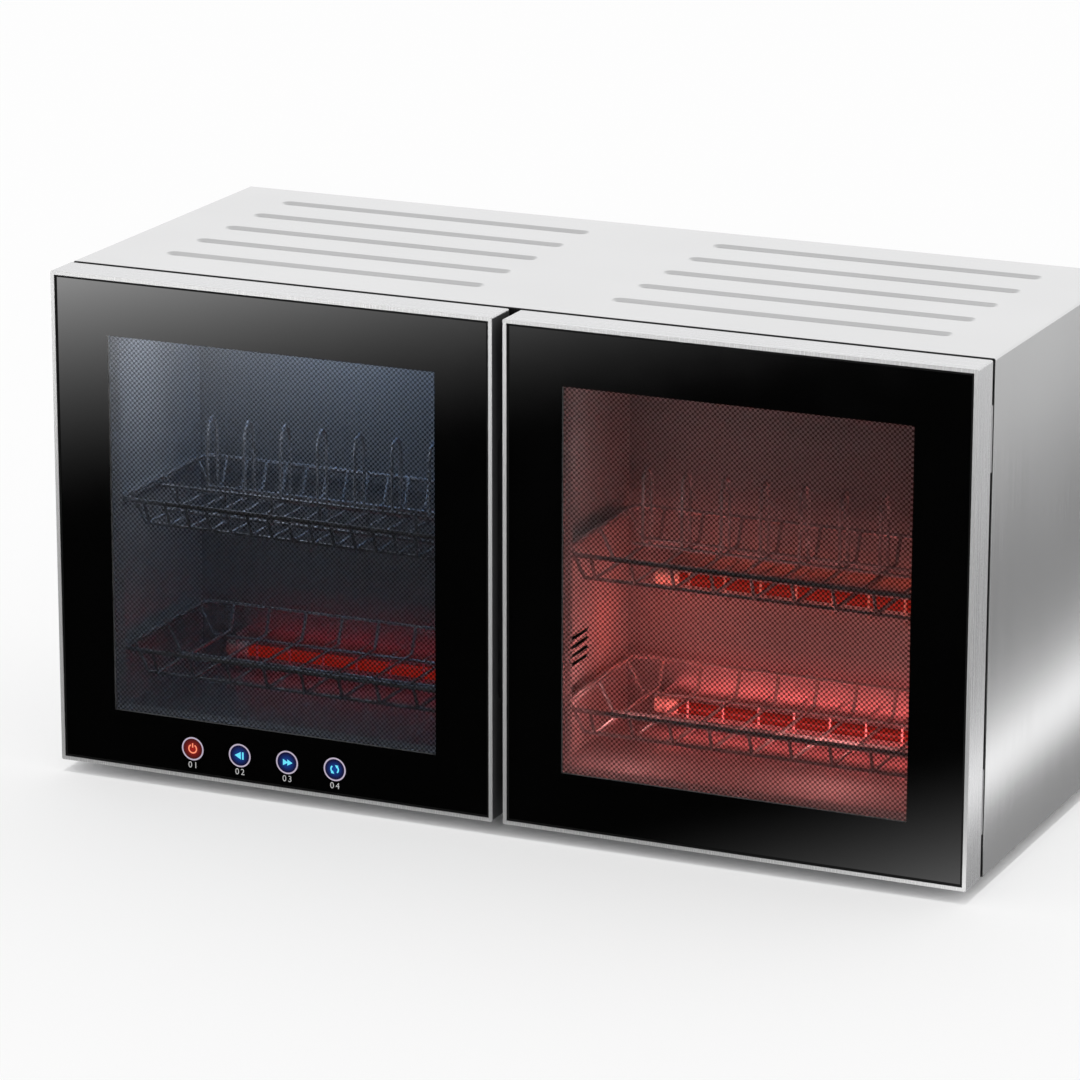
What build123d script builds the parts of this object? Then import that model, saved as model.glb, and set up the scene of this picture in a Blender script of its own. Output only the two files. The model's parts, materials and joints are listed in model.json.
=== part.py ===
from build123d import *
import os

# Dish sterilizer cabinet: a steel cabinet with two mirror-lined chambers behind two glazed
# swing doors. Each chamber holds two wire dish racks on ledges, a quartz heater below and,
# on the left, a lamp at the top. Millimetres, +Z up, +Y to the back, origin on the floor
# under the middle of the cabinet.

# ---------------------------------------------------------------- driving dimensions
# Body
body_width = 765.0
body_height = 400.0
body_depth = 303.0
foot_height = 10.0
shell_sheet = 1.0           # casing sheet
fold_radius = 1.5           # outside radius of the casing's folds
front_edge_radius = 0.8     # round the front opening, tight behind the doors
front_flange = 10.0         # casing folded in round the front opening
base_flange = 14.0          # casing folded in under the base pan
back_recess = 8.0           # back panel set in from the rear edges
back_rail = 9.0             # inside rail that the back panel screws to
pan_sheet = 1.0
pan_upstand = 9.0
fit_gap = 0.3               # play between nested sheets and mouldings

# Pressed grooves in the top
groove_length = 276.0
groove_width = 14.0
groove_depth = 2.0
groove_slope = 3.0          # how far each side of a groove leans in
groove_pitch = 50.5
groove_count = 5
groove_spread = 383.0       # between the middles of the left and right grooves
first_groove = 56.0         # from the body's front edge

# Back panel
vent_length = 90.0
vent_height = 4.0
vent_pitch = 9.0
vent_count = 6
vents_above_base = 70.0
vents_below_top = 90.0
keyhole_x = 300.0           # from the middle of the cabinet
keyhole_below_top = 36.0
keyhole_head = 12.0
keyhole_slot = 6.0
keyhole_rise = 12.0

# Chambers
chamber_side = 24.5         # body side to chamber wall
chamber_divide = 44.0       # between the two chambers
chamber_floor = 31.0        # above the body's lower edge
chamber_roof = 28.0         # below the body's upper edge
chamber_rear = 26.0         # in front of the body's rear edge
liner_sheet = 0.8
liner_flange = 8.0
frame_plate = 2.0           # thickness of the front frame
slot_length = 60.0          # air slots between the chambers
slot_height = 3.0
slot_pitch = 7.0
slot_count = 4
slot_from_front = 90.0
slot_above_floor = 84.0

# Doors
door_thickness = 32.0
door_standoff = 5.0         # gap between doors and body
door_gap = 9.0              # gap between the two doors
door_wall = 1.6
door_corner = 1.2
lip_width = 3.0
lip_thickness = 1.2
glass_thickness = 4.0
rear_flange = 10.0
rear_flange_sheet = 1.5
window_margin_x = 48.5
window_margin_z = 47.5
panel_wall = 2.0
panel_plate = 2.5
grip_width = 12.0
grip_skin = 1.6
scoop_depth = 7.0
scoop_length = 210.0
scoop_from_glass = 6.0
scoop_opening = 15.0
gasket_width = 9.0
gasket_margin = 1.5         # from the chamber's edge to the gasket

# Hinges, in the gap between doors and body
pin_inset = 2.2             # from the side of the cabinet
pin_diameter = 2.0
pin_play = 0.05             # radial, in the door's knuckles
knuckle_diameter = 4.0
knuckle_length = 10.0
knuckle_gap = 0.2
knuckle_count = 5
leaf_width = 7.5
leaf_sheet = 0.8
hinge_from_end = 60.0       # from the door's upper and lower edges

# Touch keys at the foot of the left door
key_count = 4
key_pitch = 41.6
first_key = 117.5           # from the door's outer edge
key_height = 24.0           # above the door's lower edge
key_ring = 19.2
key_ring_wall = 1.2
board_sheet = 1.6
board_height = 21.0
board_from_glass = 5.0

# Dish racks
rack_side = 8.0             # between chamber wall and rim
rack_front = 24.0           # between the body's front edge and rim
rack_depth = 235.0
rim_wire = 4.0
rim_corner = 12.0
rim_flats = 8               # the wires have few flats, to keep the part light
mesh_wire = 3.0
mesh_flats = 6
mesh_drop = 20.0            # rim down to the floor of the rack
mesh_lean = 13.0            # how far the front of the mesh leans back on its way down
cross_inset = 15.0          # cross wires reach the floor this far inside the rim
weld_sink = 0.4
dish_pitch = 32.8           # floor wires of three racks
cutlery_pitch = 18.2        # floor wires of the upper left rack
upper_rim = 179.0           # above the chamber floor
lower_rim = 55.0
divider_height = 43.0       # hoops above the rim
divider_span = 26.0
divider_from_rear = 45.0
fence_height = 20.0
fence_from_front = 62.0
fence_post_pitch = 42.0
ledge_sheet = 1.0
ledge_width = 11.0
ledge_drop = 12.0
ledge_length = 250.0
ledge_play = 0.3

# Heaters and lamp
tube_diameter = 10.0
tube_side = 40.0            # chamber wall to the end of the quartz tube
cap_diameter = 13.0
cap_length = 20.0
cap_grip = 12.0             # how far a cap reaches over its tube
tube_from_rear = 27.0
tube_above_floor = 19.0
middle_tube_above_floor = 125.0
guard_wire = 2.0
guard_pitch = 30.0
guard_reach = 14.0          # guard bars stand this far from the tube's axis
reflector_sheet = 0.6
reflector_height = 30.0
lamp_diameter = 16.0
lamp_below_roof = 24.0
socket_length = 14.0

# Electrics in the space between the chambers
bracket_sheet = 1.0
bracket_from_rear = 190.0
bracket_depth = 150.0
bracket_height = 300.0
standoff_length = 5.0
power_board_height = 120.0
power_board_depth = 110.0
transformer_size = (36.0, 34.0)
relay_size = (28.0, 18.0)
capacitor_diameter = 16.0
heat_sink_size = (20.0, 26.0)
connector_size = (70.0, 12.0)
ballast_size = (14.0, 100.0, 30.0)
terminal_size = (16.0, 40.0, 16.0)
cutout_diameter = 16.0
cutout_height = 5.0
gland_above_base = 40.0
cord_bore = 7.2
gland_neck = 16.0
gland_flange = 24.0
gland_rib = 1.0
gland_wall = 3.0            # how far the gland reaches in front of the panel

# Screws and feet
screw_diameter = 3.0
screw_head = 6.4
screw_head_height = 1.8
screw_length = 6.0
hole_play = 0.1
foot_diameter = 26.0
foot_taper = 2.0
foot_from_side = 50.0
foot_from_end = 34.0
foot_screw = 4.0
foot_screw_head = 8.0
foot_screw_head_height = 2.5
foot_screw_length = 14.0
foot_recess = 5.0

# ---------------------------------------------------------------- places worked out
total_depth = door_thickness + door_standoff + body_depth
front_y = -total_depth / 2
door_back_y = front_y + door_thickness
body_front_y = door_back_y + door_standoff
back_y = total_depth / 2
base_z = foot_height
top_z = base_z + body_height
middle_z = (base_z + top_z) / 2
side_x = body_width / 2

frame_front_y = body_front_y + shell_sheet
frame_back_y = frame_front_y + frame_plate
panel_rear_y = back_y - back_recess
panel_front_y = panel_rear_y - shell_sheet
rail_front_y = panel_front_y - shell_sheet
pan_z = base_z + shell_sheet
pan_top_z = pan_z + pan_sheet

chamber_width = (body_width - 2 * chamber_side - chamber_divide) / 2
chamber_x = (chamber_width + chamber_divide) / 2
chamber_floor_z = base_z + chamber_floor
chamber_roof_z = top_z - chamber_roof
chamber_rear_y = back_y - chamber_rear

door_width = (body_width - door_gap) / 2
glass_front_y = front_y + lip_thickness
glass_back_y = glass_front_y + glass_thickness
hinge_x = side_x - pin_inset
hinge_y = (door_back_y + body_front_y) / 2

sides = {"left": -1, "right": 1}
upright = (Align.CENTER, Align.CENTER, Align.MIN)


# ---------------------------------------------------------------- helpers
def seen_from_front(y):
    """Sketch plane at depth y: x to the right, z up."""
    return Plane(origin=(0, y, 0), x_dir=(1, 0, 0), z_dir=(0, -1, 0))


def seen_from_right(x):
    """Sketch plane at x: y to the right, z up."""
    return Plane.YZ.offset(x)


def block(x_range, y_range, z_range, mode=Mode.ADD):
    """A plain block between two depths, drawn as it is seen from the front."""
    with BuildSketch(seen_from_front(y_range[0])) as outline:
        with Locations(((x_range[0] + x_range[1]) / 2, (z_range[0] + z_range[1]) / 2)):
            Rectangle(x_range[1] - x_range[0], z_range[1] - z_range[0])
    extrude(outline.sketch, amount=y_range[0] - y_range[1], mode=mode)


def mirrored(side, near, far):
    """The x range from near to far, measured outwards from the middle, on one side."""
    return tuple(sorted((side * near, side * far)))


def save(piece, name):
    """Label a finished piece and write it to its own file."""
    piece.part.label = name
    export_step(piece.part, f"parts/{name}.step")


os.makedirs("parts", exist_ok=True)

# ---------------------------------------------------------------- casing
base_screw_places = [
    (side * (side_x - base_flange / 2), y, base_z)
    for side in sides.values()
    for y in (body_front_y + 30, (body_front_y + back_y) / 2, back_y - 30)
]
rail_middle = shell_sheet + back_rail / 2
back_screw_places = [
    (x, panel_rear_y, top_z - rail_middle) for x in (-0.6 * side_x, 0, 0.6 * side_x)
]
back_screw_places += [
    (side * (side_x - rail_middle), panel_rear_y, z)
    for side in sides.values()
    for z in (base_z + 60, middle_z, top_z - 60)
]
groove_places = [
    (side * groove_spread / 2, body_front_y + first_groove + n * groove_pitch)
    for side in sides.values()
    for n in range(groove_count)
]


def groove(grow):
    """A pressed groove at the origin: a slot that narrows on its way down."""
    with BuildPart() as slot:
        with BuildSketch(Plane.XY):
            SlotOverall(groove_length + 2 * grow, groove_width + 2 * grow)
        inset = 2 * (groove_slope - grow)
        with BuildSketch(Plane.XY.offset(-groove_depth)):
            SlotOverall(groove_length - inset, groove_width - inset)
        loft()
    return slot.part


groove_cut = groove(0)
groove_back = groove(shell_sheet)

with BuildPart() as outer_shell:
    block((-side_x, side_x), (body_front_y, back_y), (base_z, top_z))
    fillet(outer_shell.edges().filter_by(Axis.Y).group_by(Axis.Z)[-1], fold_radius)
    fillet(outer_shell.faces().sort_by(Axis.Y)[0].edges().sort_by(Axis.Z)[1:], front_edge_radius)
    inside_x = side_x - shell_sheet
    inside_z = (base_z + shell_sheet, top_z - shell_sheet)
    block((-inside_x, inside_x), (frame_front_y, back_y), inside_z, mode=Mode.SUBTRACT)
    opening_x = side_x - front_flange
    opening_z = (base_z, top_z - front_flange)
    block((-opening_x, opening_x), (body_front_y, frame_front_y), opening_z, mode=Mode.SUBTRACT)
    base_x = side_x - base_flange
    block((-base_x, base_x), (body_front_y, back_y), (base_z, pan_z), mode=Mode.SUBTRACT)
    rail_z = pan_top_z + fit_gap
    block((-inside_x, inside_x), (rail_front_y, panel_front_y), (rail_z, inside_z[1]))
    rail_x = inside_x - back_rail
    rail_gap_z = (rail_z, inside_z[1] - back_rail)
    block((-rail_x, rail_x), (rail_front_y, panel_front_y), rail_gap_z, mode=Mode.SUBTRACT)
    with Locations(*[(x, y, top_z - shell_sheet) for x, y in groove_places]):
        add(groove_back)
    with Locations(*[(x, y, top_z) for x, y in groove_places]):
        add(groove_cut, mode=Mode.SUBTRACT)
    with Locations(*base_screw_places):
        Cylinder(screw_diameter / 2 + hole_play, 4 * shell_sheet, mode=Mode.SUBTRACT)
    with Locations(*back_screw_places):
        Cylinder(
            screw_diameter / 2 + hole_play, 6 * shell_sheet, rotation=(90, 0, 0), mode=Mode.SUBTRACT
        )
save(outer_shell, "outer_shell")

vent_places = [
    (side * chamber_x, z)
    for side in sides.values()
    for z in (base_z + vents_above_base, top_z - vents_below_top)
]

with BuildPart() as back_panel:
    panel_x = inside_x - fit_gap
    panel_z = (pan_top_z + fit_gap, inside_z[1] - fit_gap)
    block((-panel_x, panel_x), (panel_front_y, panel_rear_y), panel_z)
    with BuildSketch(seen_from_front(panel_front_y)):
        with Locations(*vent_places):
            with GridLocations(0, vent_pitch, 1, vent_count):
                Rectangle(vent_length, vent_height)
        with Locations(*[(side * keyhole_x, top_z - keyhole_below_top) for side in sides.values()]):
            Circle(keyhole_head / 2)
            with Locations((0, keyhole_rise / 2)):
                SlotOverall(keyhole_rise + keyhole_slot, keyhole_slot, rotation=90)
        with Locations((0, base_z + gland_above_base)):
            Circle(gland_neck / 2 + hole_play)
        with Locations(*[(x, z) for x, y, z in back_screw_places]):
            Circle(screw_diameter / 2 + hole_play)
    extrude(amount=-shell_sheet, mode=Mode.SUBTRACT)
save(back_panel, "back_panel")

foot_places = [
    (side * (side_x - foot_from_side), y)
    for side in sides.values()
    for y in (body_front_y + foot_from_end, back_y - foot_from_end)
]

with BuildPart() as base_pan:
    pan_x = inside_x - fit_gap
    block((-pan_x, pan_x), (frame_front_y + fit_gap, panel_front_y), (pan_z, pan_top_z))
    tongue_x = opening_x - fit_gap
    block((-tongue_x, tongue_x), (body_front_y, frame_front_y + fit_gap), (pan_z, pan_top_z))
    block((-tongue_x, tongue_x), (body_front_y, frame_front_y), (pan_z, pan_top_z + pan_upstand))
    upstand_x = rail_x - fit_gap
    block((-upstand_x, upstand_x), (rail_front_y, panel_front_y), (pan_z, pan_top_z + pan_upstand))
    with Locations(*[(x, y, pan_z) for x, y in foot_places]):
        Cylinder(foot_screw / 2 + hole_play, 4 * pan_sheet, mode=Mode.SUBTRACT)
    with Locations(*base_screw_places):
        Cylinder(screw_diameter / 2 + hole_play, 6 * shell_sheet, mode=Mode.SUBTRACT)
save(base_pan, "base_pan")

with BuildPart() as hexagon_screw:
    with BuildSketch():
        RegularPolygon(screw_head / 2, 6)
    extrude(amount=screw_head_height)
    Cylinder(screw_diameter / 2, screw_head_height + screw_length, align=upright)
screw = hexagon_screw.part

with BuildPart() as base_screws:
    with Locations(*[(x, y, base_z - screw_head_height) for x, y, z in base_screw_places]):
        add(screw)
save(base_screws, "base_screws")

with BuildPart() as back_screws:
    with Locations(*back_screw_places):
        with Locations(Location((0, screw_head_height, 0), (90, 0, 0))):
            add(screw)
save(back_screws, "back_screws")

with BuildPart() as feet:
    with Locations(*foot_places):
        Cone(foot_diameter / 2 - foot_taper, foot_diameter / 2, pan_z, align=upright)
        Cylinder(foot_screw / 2 + hole_play, pan_z, align=upright, mode=Mode.SUBTRACT)
        Cylinder(foot_screw_head / 2 + fit_gap, foot_recess, align=upright, mode=Mode.SUBTRACT)
save(feet, "feet")

with BuildPart() as foot_screws:
    with Locations(*[(x, y, foot_recess - foot_screw_head_height) for x, y in foot_places]):
        Cylinder(foot_screw_head / 2, foot_screw_head_height, align=upright)
        Cylinder(foot_screw / 2, foot_screw_length, align=upright)
save(foot_screws, "foot_screws")

# ---------------------------------------------------------------- chambers
with BuildPart() as front_frame:
    block(
        (-inside_x + fit_gap, inside_x - fit_gap),
        (frame_front_y, frame_back_y),
        (pan_top_z + fit_gap, inside_z[1] - fit_gap),
    )
    for side in sides.values():
        x_range = mirrored(side, chamber_divide / 2, chamber_divide / 2 + chamber_width)
        z_range = (chamber_floor_z, chamber_roof_z)
        block(x_range, (frame_front_y, frame_back_y), z_range, mode=Mode.SUBTRACT)
save(front_frame, "front_frame")


def chamber_liner(side):
    """Mirror-finished box, open to the front, with a flange behind the front frame."""
    inner = (chamber_divide / 2, chamber_divide / 2 + chamber_width)
    outer = (inner[0] - liner_sheet, inner[1] + liner_sheet)
    flange = (inner[0] - liner_flange, inner[1] + liner_flange)
    with BuildPart() as liner:
        block(
            mirrored(side, *outer),
            (frame_back_y, chamber_rear_y + liner_sheet),
            (chamber_floor_z - liner_sheet, chamber_roof_z + liner_sheet),
        )
        block(
            mirrored(side, *flange),
            (frame_back_y, frame_back_y + liner_sheet),
            (chamber_floor_z - liner_flange, chamber_roof_z + liner_flange),
        )
        block(
            mirrored(side, *inner),
            (frame_back_y, chamber_rear_y),
            (chamber_floor_z, chamber_roof_z),
            mode=Mode.SUBTRACT,
        )
        slots = Plane.YZ.offset(min(side * outer[0], side * inner[0]))
        with BuildSketch(slots):
            slot_y = frame_back_y + slot_from_front + slot_length / 2
            with Locations((slot_y, chamber_floor_z + slot_above_floor)):
                with GridLocations(0, slot_pitch, 1, slot_count):
                    SlotOverall(slot_length, slot_height)
        extrude(amount=liner_sheet, mode=Mode.SUBTRACT)
    return liner


for name, side in sides.items():
    save(chamber_liner(side), f"{name}_chamber_liner")

# ---------------------------------------------------------------- doors
def door_span(side, near, far):
    """x range of a door, measured from its hinged edge towards the middle."""
    return mirrored(side, side_x - near, side_x - far)


def door_frame(side):
    """Folded metal frame: a lip round the glass, side walls and a flange for the hinges."""
    with BuildPart() as frame:
        block(door_span(side, 0, door_width), (front_y, door_back_y), (base_z, top_z))
        fillet(frame.edges().filter_by(Axis.Y), door_corner)
        inside = door_span(side, door_wall, door_width)
        inside_z = (base_z + door_wall, top_z - door_wall)
        block(inside, (glass_front_y, door_back_y - rear_flange_sheet), inside_z, mode=Mode.SUBTRACT)
        block(
            door_span(side, lip_width, door_width - lip_width),
            (front_y, glass_front_y),
            (base_z + lip_width, top_z - lip_width),
            mode=Mode.SUBTRACT,
        )
        flange_y = (door_back_y - rear_flange_sheet, door_back_y)
        block(
            door_span(side, rear_flange, door_width),
            flange_y,
            (base_z + rear_flange, top_z - rear_flange),
            mode=Mode.SUBTRACT,
        )
        grip_room = door_span(side, door_width - grip_width - fit_gap, door_width)
        block(grip_room, flange_y, inside_z, mode=Mode.SUBTRACT)
    return frame


def door_glass(side):
    """Pane behind the lip."""
    with BuildPart() as glass:
        block(
            door_span(side, door_wall + fit_gap, door_width - grip_skin - fit_gap),
            (glass_front_y, glass_back_y),
            (base_z + door_wall + fit_gap, top_z - door_wall - fit_gap),
        )
    return glass


magnet_width = 5.0
magnet_length = 30.0
magnet_below_top = 40.0
magnet_cover = 3.0
magnet_span = (door_width - magnet_cover - magnet_width, door_width - magnet_cover)
magnet_y = (door_back_y - magnet_cover - magnet_width, door_back_y - magnet_cover)
magnet_z = (top_z - magnet_below_top - magnet_length, top_z - magnet_below_top)


def grip_moulding(side):
    """Dark moulding down the meeting edge, scooped out for the fingers."""

    def place(inwards, y):
        return (side * (door_gap / 2 + inwards), y)

    low_z = base_z + door_wall + fit_gap
    with BuildPart() as grip:
        with BuildSketch(Plane.XY.offset(low_z)):
            with BuildLine():
                Polyline(
                    place(0, glass_front_y),
                    place(grip_skin, glass_front_y),
                    place(grip_skin, glass_back_y),
                    place(grip_width, glass_back_y),
                    place(grip_width, door_back_y),
                    place(0, door_back_y),
                    close=True,
                )
            make_face()
        extrude(amount=top_z - door_wall - fit_gap - low_z)
        with BuildSketch(seen_from_right(side * door_gap / 2)):
            with Locations((glass_back_y + scoop_from_glass + scoop_opening / 2, middle_z)):
                SlotOverall(scoop_length, scoop_opening, rotation=90)
        extrude(amount=side * scoop_depth, mode=Mode.SUBTRACT)
        block(door_span(side, *magnet_span), magnet_y, magnet_z, mode=Mode.SUBTRACT)
    return grip


def door_magnet(side):
    """Magnet that holds the door shut and works the door switch."""
    with BuildPart() as magnet:
        block(door_span(side, *magnet_span), magnet_y, magnet_z)
    return magnet


board_span = (
    first_key - board_height,
    first_key + (key_count - 1) * key_pitch + board_height,
)
board_y = glass_back_y + board_from_glass
board_boss = 6.0
board_screw_inset = 6.0


def inner_panel(side):
    """Moulded back of the door: a tray with a deep window and walls up to the glass."""
    span = (rear_flange + fit_gap, door_width - grip_width - fit_gap)
    height = (base_z + rear_flange + fit_gap, top_z - rear_flange - fit_gap)
    window = (window_margin_x, door_width - window_margin_x)
    window_z = (base_z + window_margin_z, top_z - window_margin_z)
    plate_y = door_back_y - panel_plate
    with BuildPart() as panel:
        block(door_span(side, *span), (glass_back_y, door_back_y), height)
        block(
            door_span(side, span[0] + panel_wall, span[1] - panel_wall),
            (glass_back_y, plate_y),
            (height[0] + panel_wall, height[1] - panel_wall),
            mode=Mode.SUBTRACT,
        )
        block(
            door_span(side, window[0] - panel_wall, window[1] + panel_wall),
            (glass_back_y, door_back_y),
            (window_z[0] - panel_wall, window_z[1] + panel_wall),
        )
        block(door_span(side, *window), (glass_back_y, door_back_y), window_z, mode=Mode.SUBTRACT)
        if side == sides["left"]:
            with BuildSketch(seen_from_front(board_y + board_sheet)) as bosses:
                insets = (board_span[0] + board_screw_inset, board_span[1] - board_screw_inset)
                with Locations(*[(side * (side_x - n), base_z + key_height) for n in insets]):
                    Circle(board_boss / 2)
            extrude(bosses.sketch, amount=board_y + board_sheet - plate_y)
    return panel


def door_gasket(side):
    """Soft seal that closes on the front frame all round the chamber."""
    inner = (chamber_divide / 2, chamber_divide / 2 + chamber_width)
    gasket_y = (door_back_y, frame_front_y - fit_gap)
    edge = gasket_margin + gasket_width
    with BuildPart() as gasket:
        block(
            mirrored(side, inner[0] - edge, inner[1] + edge),
            gasket_y,
            (chamber_floor_z - edge, chamber_roof_z + edge),
        )
        block(
            mirrored(side, inner[0] - gasket_margin, inner[1] + gasket_margin),
            gasket_y,
            (chamber_floor_z - gasket_margin, chamber_roof_z + gasket_margin),
            mode=Mode.SUBTRACT,
        )
        chamfer(gasket.faces().sort_by(Axis.Y)[-1].edges(), fold_radius)
    return gasket


# ---------------------------------------------------------------- hinges
hinge_length = knuckle_count * knuckle_length + (knuckle_count - 1) * knuckle_gap
hinge_heights = (base_z + hinge_from_end, top_z - hinge_from_end)
notch = knuckle_diameter / 2 - pin_play - pin_diameter / 4


def hinge_leaf(side, low_z, first, leaf_y, bore):
    """One leaf, with every second knuckle round the pin, starting from the given one."""
    axis_x = side * hinge_x
    block(
        mirrored(side, hinge_x - notch, hinge_x - leaf_width),
        leaf_y,
        (low_z, low_z + hinge_length),
    )
    for number in range(first, knuckle_count, 2):
        start = low_z + number * (knuckle_length + knuckle_gap)
        outer_y = leaf_y[0] if leaf_y[0] < hinge_y - knuckle_diameter / 2 else leaf_y[1]
        block(
            mirrored(side, hinge_x, hinge_x - knuckle_diameter / 2),
            tuple(sorted((hinge_y, outer_y))),
            (start, start + knuckle_length),
        )
        with Locations((axis_x, hinge_y, start + knuckle_length / 2)):
            Cylinder(knuckle_diameter / 2, knuckle_length)
            Cylinder(bore, knuckle_length, mode=Mode.SUBTRACT)


with BuildPart() as hinge_body_leaves:
    for side in sides.values():
        for height in hinge_heights:
            leaf_y = (body_front_y - leaf_sheet, body_front_y)
            hinge_leaf(side, height - hinge_length / 2, 0, leaf_y, pin_diameter / 2)
save(hinge_body_leaves, "hinge_body_leaves")

with BuildPart() as hinge_pins:
    for side in sides.values():
        with Locations(*[(side * hinge_x, hinge_y, z) for z in hinge_heights]):
            Cylinder(pin_diameter / 2, hinge_length)
save(hinge_pins, "hinge_pins")

for name, side in sides.items():
    with BuildPart() as door_leaves:
        for height in hinge_heights:
            leaf_y = (door_back_y, door_back_y + leaf_sheet)
            hinge_leaf(side, height - hinge_length / 2, 1, leaf_y, pin_diameter / 2 + pin_play)
    save(door_leaves, f"{name}_door_hinge_leaves")
    save(door_frame(side), f"{name}_door_frame")
    save(door_glass(side), f"{name}_door_glass")
    save(inner_panel(side), f"{name}_door_inner_panel")
    save(grip_moulding(side), f"{name}_door_grip")
    save(door_gasket(side), f"{name}_door_gasket")
    save(door_magnet(side), f"{name}_door_magnet")

# ---------------------------------------------------------------- touch keys
key_places = [
    (-side_x + first_key + number * key_pitch, base_z + key_height) for number in range(key_count)
]

with BuildPart() as key_light_rings:
    with BuildSketch(seen_from_front(glass_back_y)):
        with Locations(*key_places):
            Circle(key_ring / 2)
            Circle(key_ring / 2 - key_ring_wall, mode=Mode.SUBTRACT)
    extrude(amount=-board_from_glass)
save(key_light_rings, "key_light_rings")

with BuildPart() as touch_board:
    block(
        door_span(sides["left"], *board_span),
        (board_y, board_y + board_sheet),
        (base_z + key_height - board_height / 2, base_z + key_height + board_height / 2),
    )
save(touch_board, "touch_board")

# ---------------------------------------------------------------- dish racks
# A rack is drawn about the middle of its chamber, with its rim at height 0.
rim_x = chamber_width / 2 - rack_side - rim_wire / 2
rim_front_y = body_front_y + rack_front + rim_wire / 2
rim_rear_y = rim_front_y + rack_depth - rim_wire
weld_reach = (rim_wire + mesh_wire) / 2 - weld_sink
mesh_z = -mesh_drop
mesh_front_y = rim_front_y + weld_reach + mesh_lean
mesh_rear_y = rim_rear_y - weld_reach - mesh_lean
cross_z = mesh_z - mesh_wire + weld_sink
cross_end_x = rim_x - weld_reach
cross_floor_x = rim_x - cross_inset
cross_from_bend = 11.0
cross_ys = (
    mesh_front_y + cross_from_bend,
    (mesh_front_y + mesh_rear_y) / 2,
    mesh_rear_y - cross_from_bend,
)
divider_rod_z = mesh_z + mesh_wire - weld_sink
divider_ys = (rim_rear_y - divider_from_rear - divider_span, rim_rear_y - divider_from_rear)
fence_y = rim_front_y + fence_from_front


def wire(points, diameter, flats, side_on, close=False):
    """Wire through the points with plain bends, a corner of its section in their plane."""
    with BuildPart() as bent:
        with BuildLine() as path:
            Polyline(*points, close=close)
        with BuildSketch(Plane(origin=path.line @ 0, x_dir=side_on, z_dir=path.line % 0)):
            RegularPolygon(diameter / 2, flats, rotation=180 / flats if flats % 4 else 0)
        sweep(transition=Transition.RIGHT)
    return bent.part


def turned(centre, radius, axis, angles):
    """Points round a bend. Angles about Z start at +X, and angles about X at +Y."""
    start = Vector(0, radius, 0) if axis == Axis.X else Vector(radius, 0, 0)
    return [Vector(*centre) + start.rotate(axis, angle) for angle in angles]


def copies(pitch):
    """x places of wires at a pitch, as many as fit on the flat of the cross wires."""
    count = int((2 * cross_floor_x - mesh_wire) / pitch) + 1
    return [(number - (count - 1) / 2) * pitch for number in range(count)]


rim_turns = (
    (rim_x - rim_corner, rim_front_y + rim_corner, (-90, -45, 0)),
    (rim_x - rim_corner, rim_rear_y - rim_corner, (0, 45, 90)),
    (rim_corner - rim_x, rim_rear_y - rim_corner, (90, 135, 180)),
    (rim_corner - rim_x, rim_front_y + rim_corner, (180, 225, 270)),
)
rim_points = [Vector(0, rim_front_y, 0)]
for x, y, angles in rim_turns:
    rim_points += turned((x, y, 0), rim_corner, Axis.Z, angles)
rim = wire(rim_points, rim_wire, rim_flats, (0, 0, 1), close=True)

mesh_strand = wire(
    [
        (0, rim_front_y + weld_reach, 0),
        (0, mesh_front_y, mesh_z),
        (0, mesh_rear_y, mesh_z),
        (0, rim_rear_y - weld_reach, 0),
    ],
    mesh_wire,
    mesh_flats,
    (1, 0, 0),
)
cross_strand = wire(
    [
        (-cross_end_x, 0, 0),
        (-cross_floor_x, 0, cross_z),
        (cross_floor_x, 0, cross_z),
        (cross_end_x, 0, 0),
    ],
    mesh_wire,
    mesh_flats,
    (0, 1, 0),
)
hoop_foot_z = divider_rod_z + mesh_wire / 2 - weld_sink
hoop_radius = divider_span / 2
hoop_arch = turned(
    (0, divider_ys[0] + hoop_radius, divider_height - hoop_radius),
    hoop_radius,
    Axis.X,
    (180, 135, 90, 45, 0),
)
hoop = wire(
    [(0, divider_ys[0], hoop_foot_z), *hoop_arch, (0, divider_ys[1], hoop_foot_z)],
    mesh_wire,
    mesh_flats,
    (1, 0, 0),
)
divider_rod_x = cross_floor_x - mesh_wire
divider_rod_ends = [(-divider_rod_x, 0, 0), (divider_rod_x, 0, 0)]
divider_rod = wire(divider_rod_ends, mesh_wire, mesh_flats, (0, 1, 0))
fence_post = wire([(0, 0, 0), (0, 0, fence_height)], mesh_wire, mesh_flats, (1, 0, 0))


def rack_basket(centre_x, rim_z, pitch):
    """Rim, floor wires and cross wires welded into one basket."""
    with BuildPart() as basket:
        with Locations((centre_x, 0, rim_z)):
            add(rim)
            with Locations(*[(x, 0, 0) for x in copies(pitch)]):
                add(mesh_strand)
            with Locations(*[(0, y, 0) for y in cross_ys]):
                add(cross_strand)
    return basket


def plate_dividers(centre_x, rim_z):
    """Row of hoops on two rods, which keeps plates on edge."""
    with BuildPart() as dividers:
        with Locations((centre_x, 0, rim_z)):
            with Locations(*[(0, y, divider_rod_z) for y in divider_ys]):
                add(divider_rod)
            with Locations(*[(x, 0, 0) for x in copies(dish_pitch)]):
                add(hoop)
    return dividers


def cutlery_fence(centre_x, rim_z):
    """Low fence that keeps a strip for cutlery free along the front of the rack."""
    fence_top = mesh_z + mesh_wire
    with BuildPart() as fence:
        with Locations((centre_x, fence_y, rim_z + fence_top)):
            with Locations((0, 0, 0), (0, 0, fence_height)):
                add(divider_rod)
            with Locations(*[(x, 0, 0) for x in copies(fence_post_pitch)]):
                add(fence_post)
    return fence


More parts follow.
